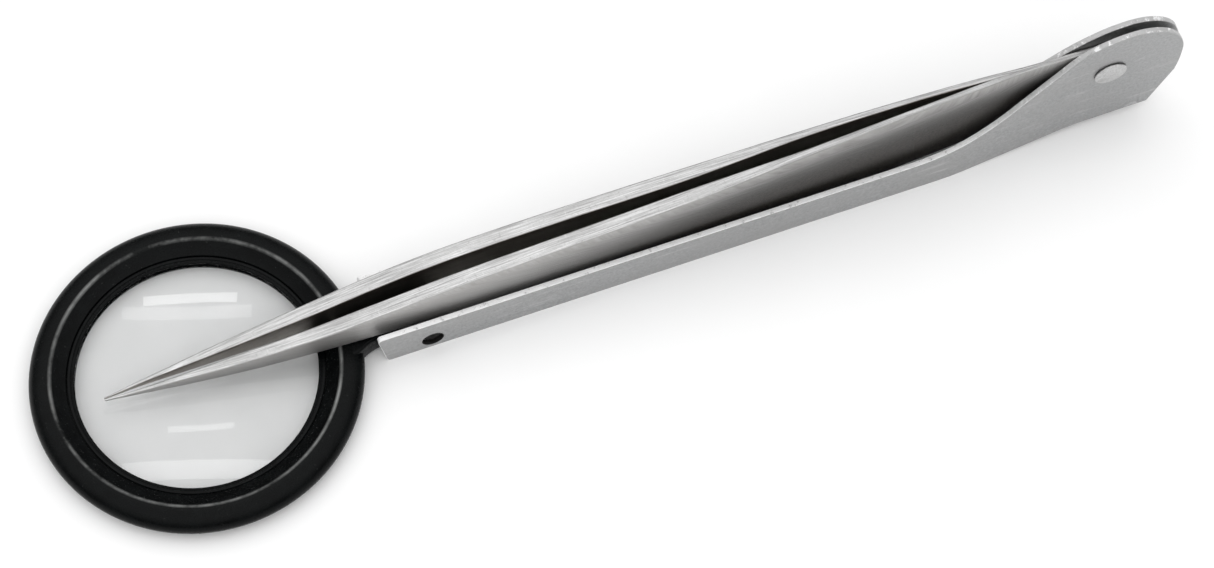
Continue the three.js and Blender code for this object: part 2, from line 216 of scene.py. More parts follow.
def leaf_steel():
    """Satin steel. The edges are ground bright along their length. The outer faces carry painted
    shade: darker towards their bottom and lighter towards their upper edge, and near black low
    down in the middle of the leaf, where it runs between the plates. The inner faces are painted
    darker as shade between the leaves. Grain holds the place along and round the leaf in mm,
    and Face the side (1 outer, -1 inner, 0 edges) and the height up the leaf from 0 to 1."""
    n = Nodes("leaf_steel")
    grain_map = n.add("ShaderNodeUVMap", uv_map="Grain").outputs[0]
    face_map = n.add("ShaderNodeUVMap", uv_map="Face").outputs[0]
    along = n.add("ShaderNodeSeparateXYZ", {0: grain_map}).outputs["X"]
    face = n.add("ShaderNodeSeparateXYZ", {0: face_map})
    streaks = n.noise(n.stretched(grain_map, (0.10, 4.2, 1)), 1.6, 6.0, 0.7)
    scratches = n.noise(n.stretched(grain_map, (0.35, 11.0, 1)), 1.4, 4.0, 0.7)
    clouds = n.noise(n.stretched(grain_map, (0.16, 0.5, 1)), 1.0, 4.0, 0.6)
    nicks = n.noise(n.stretched(grain_map, (1.5, 3.0, 1)), 1.8, 6.0, 0.75)
    nick_mask = n.ramp(nicks, [(0.56, 0.0), (0.68, 1.0)])
    ground = n.mixed(n.rescaled(streaks, 0.38, 0.6, 0, 1), grey(0.27, 0.004),
                     grey(0.68, 0.0))
    ground = n.mixed(n.rescaled(clouds, 0.3, 0.7, 0, 0.5), ground, grey(0.4, 0.01))
    ground = n.mixed(n.maths("MULTIPLY", nick_mask, 0.6), ground, grey(0.17, 0.03))
    burrs = n.noise(n.stretched(grain_map, (2.6, 0.5, 1)), 1.3, 4.0, 0.75)
    ground = n.mixed(n.ramp(burrs, [(0.6, 0.0), (0.7, 0.3)]), ground, grey(0.8))
    ground = n.mixed(n.ramp(burrs, [(0.32, 0.3), (0.4, 0.0)]), ground, grey(0.22))
    rear = n.rescaled(along, 20, 60, 0.78, 1.0)
    ground = n.mixed(1.0, ground, rear, "MULTIPLY")
    # Painted shade on the outer faces: by height up the face, darker low down and lighter towards
    # the upper edge, with a near-black patch low down from 44 to 66 mm along, standing for the
    # shade between the leaf and the plates.
    uneven = n.maths("ADD", face.outputs["Y"], n.rescaled(streaks, 0.2, 0.8, -0.09, 0.09))
    rear_painted_shade = n.ramp(uneven, [(0.3, 0.02), (0.5, 0.05), (0.7, 0.17), (0.86, 0.36),
                           (1.0, 0.56)])
    front = n.ramp(uneven, [(0.1, 0.36), (0.5, 0.5), (1.0, 0.66)])
    outer_painted_shade = n.mixed(n.rescaled(along, 40, 72, 0, 1), rear_painted_shade, front)
    rolled = n.mixed(n.rescaled(streaks, 0.3, 0.7, 0, 1), grey(0.62, 0.03), grey(0.8, 0.01))
    outer = n.mixed(1.0, rolled, outer_painted_shade, "MULTIPLY")
    mottled_shade = n.mixed(n.rescaled(nicks, 0.4, 0.6, 0, 1), grey(0.01, 0.12), grey(0.07, 0.1))
    bottom_shade_mask = n.maths("MULTIPLY", n.rescaled(uneven, 0.5, 0.84, 1, 0),
                      n.rescaled(along, 44, 66, 0.95, 0))
    outer = n.mixed(bottom_shade_mask, outer, mottled_shade)
    # Painted shade: the inner faces are coloured darker, standing for the shade between the two
    # leaves.
    inner = n.mixed(n.rescaled(clouds, 0.3, 0.7, 0, 1), grey(0.26, 0.09), grey(0.42, 0.06))
    colour = n.mixed(n.rescaled(face.outputs["X"], 0.3, 0.9, 0, 1), ground, outer)
    colour = n.mixed(n.rescaled(face.outputs["X"], -0.3, -0.9, 0, 1), colour, inner)
    rough = n.rescaled(n.maths("ADD", scratches, n.maths("MULTIPLY", nick_mask, 0.3)),
                       0.3, 1.0, 0.27, 0.5)
    normal = n.bump(scratches, 0.35, 0.00006)
    normal = n.bump(nicks, 0.3, 0.0001, normal)
    metal = n.rescaled(face.outputs["X"], 0.3, 0.9, 1.0, 0.45)
    return n.surface(colour, rough, normal, metal)


def plate_steel():
    """Tumbled sheet steel: an even fine-grained matte grey on its faces."""
    n = Nodes("plate_steel")
    place = n.place()
    grain = n.noise(place, 3000, 5.0, 0.75)
    clouds = n.noise(n.stretched(place, (90, 90, 200)), 1.0, 4.0, 0.6)
    rubs = n.noise(n.stretched(place, (160, 160, 1500)), 1.0, 5.0, 0.65)
    colour = n.mixed(n.rescaled(grain, 0.35, 0.65, 0, 1), grey(0.31, -0.01), grey(0.49, -0.008))
    colour = n.mixed(n.rescaled(clouds, 0.35, 0.7, 0, 0.5), colour, grey(0.41, 0.01))
    colour = n.mixed(n.ramp(rubs, [(0.58, 0.0), (0.72, 0.5)]), colour, grey(0.62))
    rough = n.rescaled(grain, 0.3, 0.7, 0.4, 0.56)
    normal = n.bump(grain, 0.35, 0.00005)
    return n.surface(colour, rough, normal, 1.0)


def edge_steel(name, across):
    """A sheared edge: bright, with fine grooves and small rough nicks. Its near-white colour
    with little metal is partly a painted highlight, and it darkens towards the rivet as
    painted shade.
    """
    n = Nodes(name)
    place = n.place()
    grooves = n.noise(n.stretched(place, across), 1.0, 5.0, 0.7)
    nicks = n.noise(n.stretched(place, (1300, 1300, 1300)), 1.0, 6.0, 0.75)
    nick_mask = n.ramp(nicks, [(0.56, 0.0), (0.66, 1.0)])
    burrs = n.ramp(n.noise(place, 900, 5.0, 0.7), [(0.54, 0.0), (0.62, 0.85)])
    split = n.add("ShaderNodeSeparateXYZ", {0: place})
    # Painted highlight and shade: the near-white colour with little metal stands partly for the
    # edges' glint, and the colour darkens towards the rivet, where that glint fades.
    rear = n.rescaled(split.outputs["X"], (RIVET.x - 16) * MM, (RIVET.x - 4) * MM, 1.0, 0.5)
    colour = n.mixed(n.rescaled(grooves, 0.3, 0.7, 0, 1), grey(0.78), grey(0.98))
    colour = n.mixed(1.0, colour, rear, "MULTIPLY")
    colour = n.mixed(burrs, colour, grey(0.88))
    colour = n.mixed(n.maths("MULTIPLY", nick_mask, 0.6), colour, grey(0.2, 0.03))
    rough = n.rescaled(grooves, 0.3, 0.7, 0.3, 0.5)
    normal = n.bump(nicks, 0.45, 0.00012, n.bump(grooves, 0.3, 0.00006))
    return n.surface(colour, rough, normal, 0.1)


def small_steel(name, levels, warmth, roughness, metal, shine):
    """The rivet and the pin: turned steel with a fine grain and a little tarnish."""
    n = Nodes(name)
    low, high = levels
    place = n.place()
    grain = n.noise(place, 3800, 5.0, 0.7)
    tarnish = n.noise(place, 900, 4.0, 0.6)
    colour = n.mixed(n.rescaled(grain, 0.3, 0.7, 0, 1), grey(low, warmth), grey(high))
    colour = n.mixed(n.ramp(tarnish, [(0.5, 0.0), (0.7, 0.45)]), colour,
                     grey(low * 0.75, warmth * 2))
    rough = n.rescaled(grain, 0.3, 0.7, *roughness)
    normal = n.bump(grain, 0.3, 0.00005)
    return n.surface(colour, rough, normal, metal, shine)


def black_plastic():
    """Satin black moulded plastic, with a very fine grain, rubbed marks, a few specks of dust
    and a painted highlight round the crest, broken into patches."""
    n = Nodes("black_plastic")
    place = n.place()
    grain = n.noise(place, 4200, 4.0, 0.7)
    rubs = n.noise(n.stretched(place, (420, 420, 1400)), 1.0, 6.0, 0.75)
    specks = n.noise(place, 1900, 3.0, 0.8)
    colour = n.mixed(n.rescaled(rubs, 0.3, 0.7, 0, 1), (0.0008, 0.001, 0.0011, 1),
                     (0.0038, 0.0046, 0.0048, 1))
    flat = n.add("ShaderNodeVectorMath", {0: place, 1: (1, 1, 0)}, operation="MULTIPLY")
    across = n.add("ShaderNodeVectorMath", {0: flat.outputs[0], 1: (LENS.x * MM, 0, 0)},
                   operation="DISTANCE").outputs["Value"]
    # Painted highlight: a light grey line round the crest, broken into patches, stands in for the
    # crest's glint.
    patches = n.noise(place, 130, 5.0, 0.7)
    off_crest = n.maths("ABSOLUTE", n.maths("SUBTRACT", across, FRAME_HIGHLIGHT_RADIUS * MM))
    crest = n.rescaled(off_crest, 0.0, 0.00026, 1.0, 0.0)
    crest_highlight = n.maths("MULTIPLY", crest, n.rescaled(patches, 0.38, 0.64, 0.03, 1.0))
    colour = n.mixed(crest_highlight, colour, (0.27, 0.275, 0.27, 1))
    colour = n.mixed(n.ramp(specks, [(0.66, 0.0), (0.74, 0.5)]), colour,
                     (0.05, 0.052, 0.05, 1))
    rough = n.rescaled(n.maths("ADD", grain, rubs), 0.6, 1.4, 0.16, 0.38)
    normal = n.bump(grain, 0.25, 0.00005)
    return n.surface(colour, rough, normal, 0.0, 0.08)


def lens_clear():
    """Clear moulded lens that lets the lamps through, with a trace of dust in its haze."""
    n = Nodes("lens_clear")
    place = n.place()
    haze = n.noise(place, 260, 4.0, 0.6)
    dust = n.noise(place, 5200, 2.0, 0.5)
    tint = n.mixed(n.rescaled(haze, 0.3, 0.7, 0, 1), (0.775, 0.781, 0.781, 1),
                   (0.805, 0.809, 0.809, 1))
    specks = n.ramp(dust, [(0.7, 0.02), (0.78, 0.3)])
    glass = n.add("ShaderNodeBsdfPrincipled", {
        "Base Color": tint, "Roughness": specks, "IOR": 1.49, "Transmission Weight": 1.0})
    clear = n.add("ShaderNodeBsdfTransparent", {"Color": (0.95, 0.95, 0.95, 1)})
    rays = n.add("ShaderNodeLightPath")
    shader = n.add("ShaderNodeMixShader", {0: rays.outputs["Is Shadow Ray"],
                                           1: glass.outputs[0], 2: clear.outputs[0]})
    return n.finish(shader.outputs[0])


def floor_white():
    n = Nodes("floor_white")
    place = n.place()
    mottle = n.noise(place, 30, 2.0)
    colour = n.mixed(n.rescaled(mottle, 0.3, 0.7, 0, 1), grey(0.93), grey(0.95))
    shader = n.add("ShaderNodeBsdfPrincipled", {"Base Color": colour, "Roughness": 0.9,
                                                "Specular IOR Level": 0.1})
    return n.finish(shader.outputs[0])


LEAF_STEEL = leaf_steel()
PLATE_STEEL = plate_steel()
PLATE_EDGE = edge_steel("plate_edge", (700, 5200, 700))
RIVET_STEEL = small_steel("rivet_steel", (0.42, 0.66), 0.006, (0.26, 0.38), 1.0, 0.5)
# Painted shade: the pin and the walls of the plates' holes are coloured near black with little
# shine, standing for the shade in the recessed holes; the pin is steel.
PIN_STEEL_PAINTED_SHADE = small_steel("pin_steel", (0.008, 0.03), 0.12, (0.25, 0.45), 0.0, 0.04)
BLACK = black_plastic()
CLEAR = lens_clear()


# ---- Mesh helpers ------------------------------------------------------------------------------

def new_object(name, vertices, faces, materials):
    """A mesh object from points in millimetres, in the frame."""
    mesh = bpy.data.meshes.new(name)
    mesh.from_pydata([tuple(c * MM for c in v) for v in vertices], [], faces)
    for material in materials:
        mesh.materials.append(material)
    mesh.validate()
    made = bpy.data.objects.new(name, mesh)
    bpy.context.scene.collection.objects.link(made)
    return made


def smooth(made, degrees=38):
    made.data.shade_smooth()
    made.data.set_sharp_from_angle(angle=math.radians(degrees))


def fit_out(made, body, nodes=()):
    """The piece rides on its body and stands for its CAD nodes."""
    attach(made, body)
    if nodes:
        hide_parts(*nodes)
    return made


def station_curve(stations):
    """A smooth curve through (s, value) stations."""
    last = len(stations) - 1

    def slope(i):
        s0, v0 = stations[max(i - 1, 0)]
        s1, v1 = stations[min(i + 1, last)]
        return (v1 - v0) / (s1 - s0)

    def value(s):
        i = next((k for k, (station, _) in enumerate(stations) if station >= s), last)
        i = max(i, 1)
        s0, v0 = stations[i - 1]
        s1, v1 = stations[i]
        span = s1 - s0
        u = min(max((s - s0) / span, 0.0), 1.0)
        rise = (3 - 2 * u) * u * u
        return (v0 * (1 - rise) + v1 * rise + slope(i - 1) * span * u * (1 - u) ** 2
                + slope(i) * span * u * u * (u - 1))
    return value


def loft(rings, closed_ends=True):
    """Faces that join equal rings of points one after another, with a fan of one face at
    each end, and the points."""
    count = len(rings[0])
    points = [p for ring in rings for p in ring]
    faces = []
    for i in range(len(rings) - 1):
        for k in range(count):
            a = i * count + k
            b = i * count + (k + 1) % count
            faces.append((a, b, b + count, a + count))
    if closed_ends:
        faces.append(tuple(range(count))[::-1])
        first = (len(rings) - 1) * count
        faces.append(tuple(first + k for k in range(count)))
    return points, faces


def recalculated(made):
    """Turns every face outwards."""
    work = bmesh.new()
    work.from_mesh(made.data)
    bmesh.ops.recalc_face_normals(work, faces=work.faces)
    work.to_mesh(made.data)
    work.free()
    return made


def turned(name, profile, centre, axis, segments, materials, closed=True):
    """A solid of revolution from (radius, height) points: a closed loop, or from axis to
    axis when closed is False. The axis is "Y" or "Z"."""
    points = []
    faces = []
    rows = []
    for radius, height in profile:
        if radius < 1e-9:
            rows.append([len(points)])
            points.append((0.0, 0.0, height))
        else:
            rows.append(list(range(len(points), len(points) + segments)))
            for k in range(segments):
                angle = 2 * math.pi * k / segments
                points.append((radius * math.cos(angle), radius * math.sin(angle), height))
    pairs = list(zip(rows, rows[1:] + rows[:1])) if closed else list(zip(rows, rows[1:]))
    for low, high in pairs:
        for k in range(segments):
            following = (k + 1) % segments
            if len(low) == 1 and len(high) == 1:
                continue
            if len(low) == 1:
                faces.append((low[0], high[following], high[k]))
            elif len(high) == 1:
                faces.append((low[k], low[following], high[0]))
            else:
                faces.append((low[k], low[following], high[following], high[k]))
    if axis == "Y":
        points = [(x, z, y) for x, y, z in points]
    points = [(x + centre[0], y + centre[1], z + centre[2]) for x, y, z in points]
    return recalculated(new_object(name, points, faces, materials))


def arc(centre, radius, start, end, steps):
    """Points of an arc, in radians, with both ends."""
    return [(centre[0] + radius * math.cos(start + (end - start) * i / steps),
             centre[1] + radius * math.sin(start + (end - start) * i / steps))
            for i in range(steps + 1)]


def curve(start, control, end, steps):
    """Points of a quadratic curve, with both ends."""
    made = []
    for i in range(steps + 1):
        t = i / steps
        made.append(tuple((1 - t) ** 2 * a + 2 * t * (1 - t) * b + t * t * c
                          for a, b, c in zip(start, control, end)))
    return made


def thinned(points, least=0.02):
    """The closed outline without points that lie on each other."""
    kept = []
    for p in points:
        if not kept or math.dist(p, kept[-1]) > least:
            kept.append(p)
    if math.dist(kept[0], kept[-1]) <= least:
        kept.pop()
    return kept


def spaced(points, step):
    """The closed outline with long sides cut into steps."""
    made = []
    for a, b in zip(points, points[1:] + points[:1]):
        cuts = max(1, math.ceil(math.dist(a, b) / step))
        made += [tuple(p + (q - p) * i / cuts for p, q in zip(a, b)) for i in range(cuts)]
    return made


def inset(points, amount):
    """The closed outline moved to its left by an amount: inwards when it runs
    anticlockwise."""
    made = []
    count = len(points)
    for i, p in enumerate(points):
        before = Vector(p) - Vector(points[i - 1])
        after = Vector(points[(i + 1) % count]) - Vector(p)
        before.normalize()
        after.normalize()
        left = Vector((-before.y - after.y, before.x + after.x))
        left.normalize()
        cosine = max(left.dot(Vector((-before.y, before.x))), 0.5)
        made.append(tuple(Vector(p) + left * amount / cosine))
    return made


def inside(point, outline):
    """True if the point is in the outline."""
    x, y = point
    found = False
    for (x0, y0), (x1, y1) in zip(outline, outline[1:] + outline[:1]):
        if (y0 > y) != (y1 > y) and x < (x1 - x0) * (y - y0) / (y1 - y0) + x0:
            found = not found
    return found


def sheet(name, outline, holes, place, depth, rounding, grid, materials):
    """A flat or bent sheet with rounded edges and round holes. place(x, z, d) gives the
    point at depth d, from 0 on the front to depth on the back. Faces take the first
    material, edges the second and the walls of holes the third."""
    loops = [outline] + holes
    steps = 3
    rows = []
    for k in range(steps + 1):
        angle = math.pi / 2 * k / steps
        rows.append((rounding * (1 - math.sin(angle)), rounding * (1 - math.cos(angle))))
    rows += [(side, depth - d) for side, d in reversed(rows)]
    points = []
    faces = []
    kinds = []
    starts = []
    for loop in loops:
        count = len(loop)
        first = len(points)
        starts.append(first)
        for side, d in rows:
            for x, z in inset(loop, side):
                points.append(place(x, z, d))
        for r in range(len(rows) - 1):
            for k in range(count):
                a = first + r * count + k
                b = first + r * count + (k + 1) % count
                faces.append((a, b, b + count, a + count))
                kinds.append(2 if loop in holes else 1)
    flat = [inset(loop, rounding) for loop in loops]
    border = [p for loop in flat for p in loop]
    edges = []
    first = 0
    for loop in flat:
        count = len(loop)
        edges += [(first + k, first + (k + 1) % count) for k in range(count)]
        first += count
    extra = [p for p in grid if inside(p, inset(outline, rounding + 0.5))
             and not any(math.dist(p, hole_middle(hole)) < hole_reach(hole) for hole in holes)]
    flat_points, _, triangles, origins, _, _ = delaunay_2d_cdt(
        [Vector(p) for p in border + extra], edges, [], 0, 1e-7)
    for front in (True, False):
        index = {}
        for i, source in enumerate(origins):
            known = [s for s in source if s < len(border)]
            if known:
                index[i] = loop_point(known[0], flat, starts, len(rows), front)
            else:
                index[i] = len(points)
                x, z = flat_points[i]
                points.append(place(x, z, 0.0 if front else depth))
        for triangle in triangles:
            middle = sum((flat_points[i] for i in triangle), Vector((0, 0))) / 3
            if inside(middle, flat[0]) and not any(inside(middle, h) for h in flat[1:]):
                faces.append(tuple(index[i] for i in triangle))
                kinds.append(0)
    made = new_object(name, points, faces, materials)
    made.data.polygons.foreach_set("material_index", kinds)
    return recalculated(made)


def hole_middle(hole):
    return tuple(sum(c) / len(hole) for c in zip(*hole))


def hole_reach(hole):
    return math.dist(hole_middle(hole), hole[0]) + 0.5


def loop_point(source, flat, starts, row_count, front):
    """The index of a border point in its loop's first or last row of points."""
    for loop, first in zip(flat, starts):
        if source < len(loop):
            return first + source + (0 if front else (row_count - 1) * len(loop))
        source -= len(loop)
    raise ValueError("a border point belongs to no outline")


def circle_hole(x, z, radius, steps=40):
    """A round hole: it runs clockwise, so that its inset is outwards."""
    return arc((x, z), radius, 2 * math.pi, 2 * math.pi / steps, steps - 1)


def cut_round(made, x, z, radius, length):
    """Cuts a round hole along Y, in the frame's millimetres."""
    profile = [(0, -length), (radius, -length), (radius, length), (0, length)]
    tool = turned("tool", profile, (x, 0, z), "Y", 48, [], closed=False)
    cut = made.modifiers.new("hole", "BOOLEAN")
    cut.operation = "DIFFERENCE"
    cut.solver = "EXACT"
    cut.object = tool
    bpy.context.view_layer.update()
    seen = made.evaluated_get(bpy.context.evaluated_depsgraph_get())
    mesh = bpy.data.meshes.new_from_object(seen)
    made.modifiers.clear()
    made.data = mesh
    bpy.data.objects.remove(tool)


# ---- Fork ------------------------------------------------------------------------------------

def plate_outline():
    """A side plate's outline, anticlockwise from the lower front corner: the strap, the round
    ear and the fillet between them."""
    front = STRAP_FRONT_X
    fillet = (-22.5, STRAP_HEIGHT + EAR_FILLET_RADIUS)
    crown_z = EAR_TOP[1] - EAR_FRONT_RADIUS
    rear_z = EAR_TOP[1] - EAR_REAR_RADIUS
    quarter = math.pi / 2
    points = [(front + 1.3, 0), (STRAP_BEND_X, 0), EAR_CORNER]
    points += curve((7.85, 7.2), (EAR_REAR_X + 0.02, 9.0), (EAR_REAR_X, rear_z), 8)
    points += arc((EAR_TOP[0], rear_z), EAR_REAR_RADIUS, 0, quarter, 24)
    points += arc((EAR_TOP[0], crown_z), EAR_FRONT_RADIUS, quarter, quarter + EAR_SLOPE, 20)
    points += arc(fillet, EAR_FILLET_RADIUS, -quarter + EAR_SLOPE, -quarter, 28)
    points += curve((front + 0.5, STRAP_HEIGHT), (front, STRAP_HEIGHT),
                    (front, STRAP_HEIGHT - 0.5), 5)
    points += curve((front + 0.65, 0.6), (front + 0.75, 0), (front + 1.3, 0), 6)
    return spaced(thinned(points), 2.0)


def half_gap(x):
    """Half the clear width between the plates, with each bend rounded."""
    bends = [(STRAP_FRONT_X, HALF_GAP_FRONT), (STRAP_BEND_X, HALF_GAP_BEND),
             (EAR_FLAT_X, HALF_GAP_EAR), (EAR_REAR_X + 5, HALF_GAP_EAR)]
    radius = 1.4
    samples = [x + radius * (k / 2) for k in range(-2, 3)]
    slope = (HALF_GAP_BEND - HALF_GAP_FRONT) / (STRAP_BEND_X - STRAP_FRONT_X)
    total = 0.0
    for sample in samples:
        if sample < STRAP_FRONT_X:
            total += HALF_GAP_FRONT + slope * (sample - STRAP_FRONT_X)
        else:
            total += float(np.interp(sample, [b[0] for b in bends], [b[1] for b in bends]))
    return total / len(samples)


def side_plate(name, side):
    def place(x, z, d):
        return (RIVET.x + x, side * (half_gap(x) + PLATE_SHEET - d), z)

    spacing = 1.7
    grid = [(STRAP_FRONT_X + spacing * i, 1.3 + spacing * j)
            for i in range(54) for j in range(10)]
    holes = [circle_hole(0, RIVET.z, RIVET_HOLE_RADIUS),
             circle_hole(PIN.x - RIVET.x, PIN.z, PIN_HOLE_RADIUS)]
    made = sheet(name + "_visual", plate_outline(), holes, place, PLATE_SHEET, EDGE_ROUND, grid,
                 [PLATE_STEEL, PLATE_EDGE, PIN_STEEL_PAINTED_SHADE])
    smooth(made, 24)
    return fit_out(made, "fork", [name])


def pivot_rivet():
    """The shank with a low dome at each end, its rim rolled under."""
    seat = HALF_GAP_EAR + PLATE_SHEET + 0.04
    rim = 0.12
    dome = [(RIVET_HEAD_RADIUS - rim, seat)]
    dome += [(RIVET_HEAD_RADIUS - rim + rim * math.cos(a), seat + rim + rim * math.sin(a))
             for a in [math.radians(d) for d in range(-60, 31, 30)]]
    crown = RIVET_HEAD_HEIGHT - rim * 1.5
    edge = RIVET_HEAD_RADIUS - rim * 0.134
    for i in range(1, 13):
        share = i / 12
        radius = edge * (1 - share)
        dome.append((radius, seat + rim * 1.5 + crown * (1 - (radius / edge) ** 2)))
    half = [(RIVET_RADIUS, 0), (RIVET_RADIUS, seat)] + dome
    other = [(r, -y) for r, y in half[:0:-1]]
    made = turned("pivot_rivet_visual", other + half, (RIVET.x, 0, RIVET.z), "Y", 72,
                  [RIVET_STEEL], closed=False)
    smooth(made, 50)
    return fit_out(made, "fork", ["pivot_rivet"])


# ---- Magnifier -------------------------------------------------------------------------------

def lens_frame_rim():
    """The rim: round outside, with a slope down to the keeper, a groove that holds the lens
    and a flare below."""
    half = FRAME_TOP / 2
    bulge = FRAME_RADIUS - FRAME_CREST_RADIUS
    play = 0.1
    low = LENS.z - LENS_EDGE / 2 - play
    high = LENS.z + LENS_EDGE / 2 + play
    profile = []
    steps = 26
    for i in range(steps + 1):
        a = -math.pi / 2 + math.pi * i / steps
        profile.append((FRAME_CREST_RADIUS + bulge * math.cos(a), half + half * math.sin(a)))
    profile += [(FRAME_CREST_RADIUS - 0.12, FRAME_TOP - 0.01),
                (FRAME_CREST_RADIUS - 0.24, FRAME_TOP - 0.07),
                (FRAME_CREST_RADIUS - 0.34, FRAME_TOP - 0.17)]
    profile += [(KEEPER_RADIUS + 0.2, FRAME_TOP - 0.88), (KEEPER_RADIUS + 0.12, FRAME_TOP - 0.94),
                (KEEPER_RADIUS + play, FRAME_TOP - 1.02), (KEEPER_RADIUS + play, high),
                (LENS_RADIUS + play, high), (LENS_RADIUS + play, low), (SIGHT_RADIUS + 0.05, low),
                (SIGHT_RADIUS, low - 0.05), (SIGHT_RADIUS, low - 0.25),
                (SIGHT_RADIUS + 0.1, low - 0.35), (FRAME_CREST_RADIUS - 0.9, 0.04),
                (FRAME_CREST_RADIUS - 0.8, 0.0)]
    made = turned("lens_frame_rim", profile, (LENS.x, 0, 0), "Z", 240, [BLACK])
    smooth(made, 30)
    return fit_out(made, "magnifier", ["lens_frame"])


def lens_frame_lug():
    """The neck of the lug between the plates, which flares into the rim."""
    top = 3.05
    low = 0.45
    rim_x = LENS.x + FRAME_CREST_RADIUS
    end_x = PIN.x - BOSS_RADIUS * 0.8
    widths = [(rim_x, 3.7), (rim_x + 1.4, 3.35), (rim_x + 2.6, 2.75), (rim_x + 3.9, 2.38),
              (RIVET.x + STRAP_FRONT_X + 0.4, 2.3), (end_x, 2.3)]
    width = station_curve(widths)
    rings = []
    corner = 0.3
    for i in range(21):
        x = rim_x + (end_x - rim_x) * i / 20
        w = width(x)
        ring = []
        for cy, cz, start in ((1, 1, 0), (-1, 1, 90), (-1, -1, 180), (1, -1, 270)):
            y0 = cy * (w - corner)
            z0 = (top + low) / 2 + cz * ((top - low) / 2 - corner)
            for a in range(0, 91, 18):
                angle = math.radians(start + a)
                ring.append((x, y0 + corner * math.cos(angle), z0 + corner * math.sin(angle)))
        rings.append(ring)
    points, faces = loft(rings)
    neck = recalculated(new_object("lens_frame_lug", points, faces, [BLACK]))
    smooth(neck, 40)
    fit_out(neck, "magnifier")


def lens_frame_boss():
    """The round boss of the lug, which turns on the pin."""
    half = BOSS_HALF_WIDTH
    edge = 0.22
    middle = BOSS_RADIUS - edge
    turns = [math.radians(d) for d in range(0, 91, 15)]
    profile = [(PIN_RADIUS + 0.05, -half)]
    profile += [(middle + edge * math.sin(a), -half + edge - edge * math.cos(a)) for a in turns]
    profile += [(middle + edge * math.cos(a), half - edge + edge * math.sin(a)) for a in turns]
    profile += [(PIN_RADIUS + 0.05, half)]
    barrel = turned("lens_frame_boss", profile, (PIN.x, 0, PIN.z), "Y", 64, [BLACK])
    smooth(barrel, 30)
    fit_out(barrel, "magnifier")


def lens():
    """Both faces are part of a sphere, with a small ground bevel at the rim."""
    rings = 28
    bevel = 0.1
    edge = LENS_RADIUS - bevel

    def face(side):
        made = []
        for i in range(rings + 1):
            radius = edge * i / rings
            crown = LENS_SAG * (1 - (radius / LENS_RADIUS) ** 2)
            made.append((radius, LENS.z + side * (LENS_EDGE / 2 + crown)))
        return made

    rim = [(LENS_RADIUS, LENS.z - LENS_EDGE / 2 + bevel),
           (LENS_RADIUS, LENS.z + LENS_EDGE / 2 - bevel)]
    profile = face(-1) + rim + face(1)[::-1]
    made = turned("lens_visual", profile, (LENS.x, 0, 0), "Z", 160, [CLEAR], closed=False)
    smooth(made, 30)
    return fit_out(made, "magnifier", ["lens"])


def lens_retaining_ring():
    """A thin ring over the lens, with a fine groove round its sloping face."""
    low = LENS.z + LENS_EDGE / 2 + 0.16
    groove = 13.06
    top = low + 0.34
    profile = [(SIGHT_RADIUS + 0.03, low), (KEEPER_RADIUS, low), (KEEPER_RADIUS, top - 0.05),
               (KEEPER_RADIUS - 0.05, top), (groove + 0.08, top - 0.01),
               (groove + 0.03, top - 0.08), (groove - 0.03, top - 0.08),
               (groove - 0.08, top - 0.02), (SIGHT_RADIUS + 0.14, top - 0.04),
               (SIGHT_RADIUS + 0.05, top - 0.09), (SIGHT_RADIUS, top - 0.16),
               (SIGHT_RADIUS, low + 0.04)]
    made = turned("lens_retaining_ring_visual", profile, (LENS.x, 0, 0), "Z", 240, [BLACK])
    smooth(made, 32)
    return fit_out(made, "magnifier", ["lens_retaining_ring"])


def lens_tilt_pin():
    """A plain pin with a rounded corner and a shallow centre mark at each end."""
    end = PIN_HALF_LENGTH
    corner = 0.25
    half = [(PIN_RADIUS, 0), (PIN_RADIUS, end - corner)]
    half += [(PIN_RADIUS - corner + corner * math.cos(a), end - corner + corner * math.sin(a))
             for a in [math.radians(d) for d in range(15, 91, 15)]]
    half += [(0.3, end), (0.22, end - 0.03), (0.0, end - 0.09)]
    other = [(r, -y) for r, y in half[:0:-1]]
    made = turned("lens_tilt_pin_visual", other + half, (PIN.x, 0, PIN.z), "Y", 48,
                  [PIN_STEEL_PAINTED_SHADE], closed=False)
    smooth(made, 35)
    return fit_out(made, "magnifier", ["lens_tilt_pin"])


# ---- Tongs -----------------------------------------------------------------------------------

leaf_top = station_curve(LEAF_TOP)
leaf_bottom = station_curve(LEAF_BOTTOM)
leaf_middle = station_curve(LEAF_MIDDLE)
leaf_thickness = station_curve(LEAF_THICKNESS)


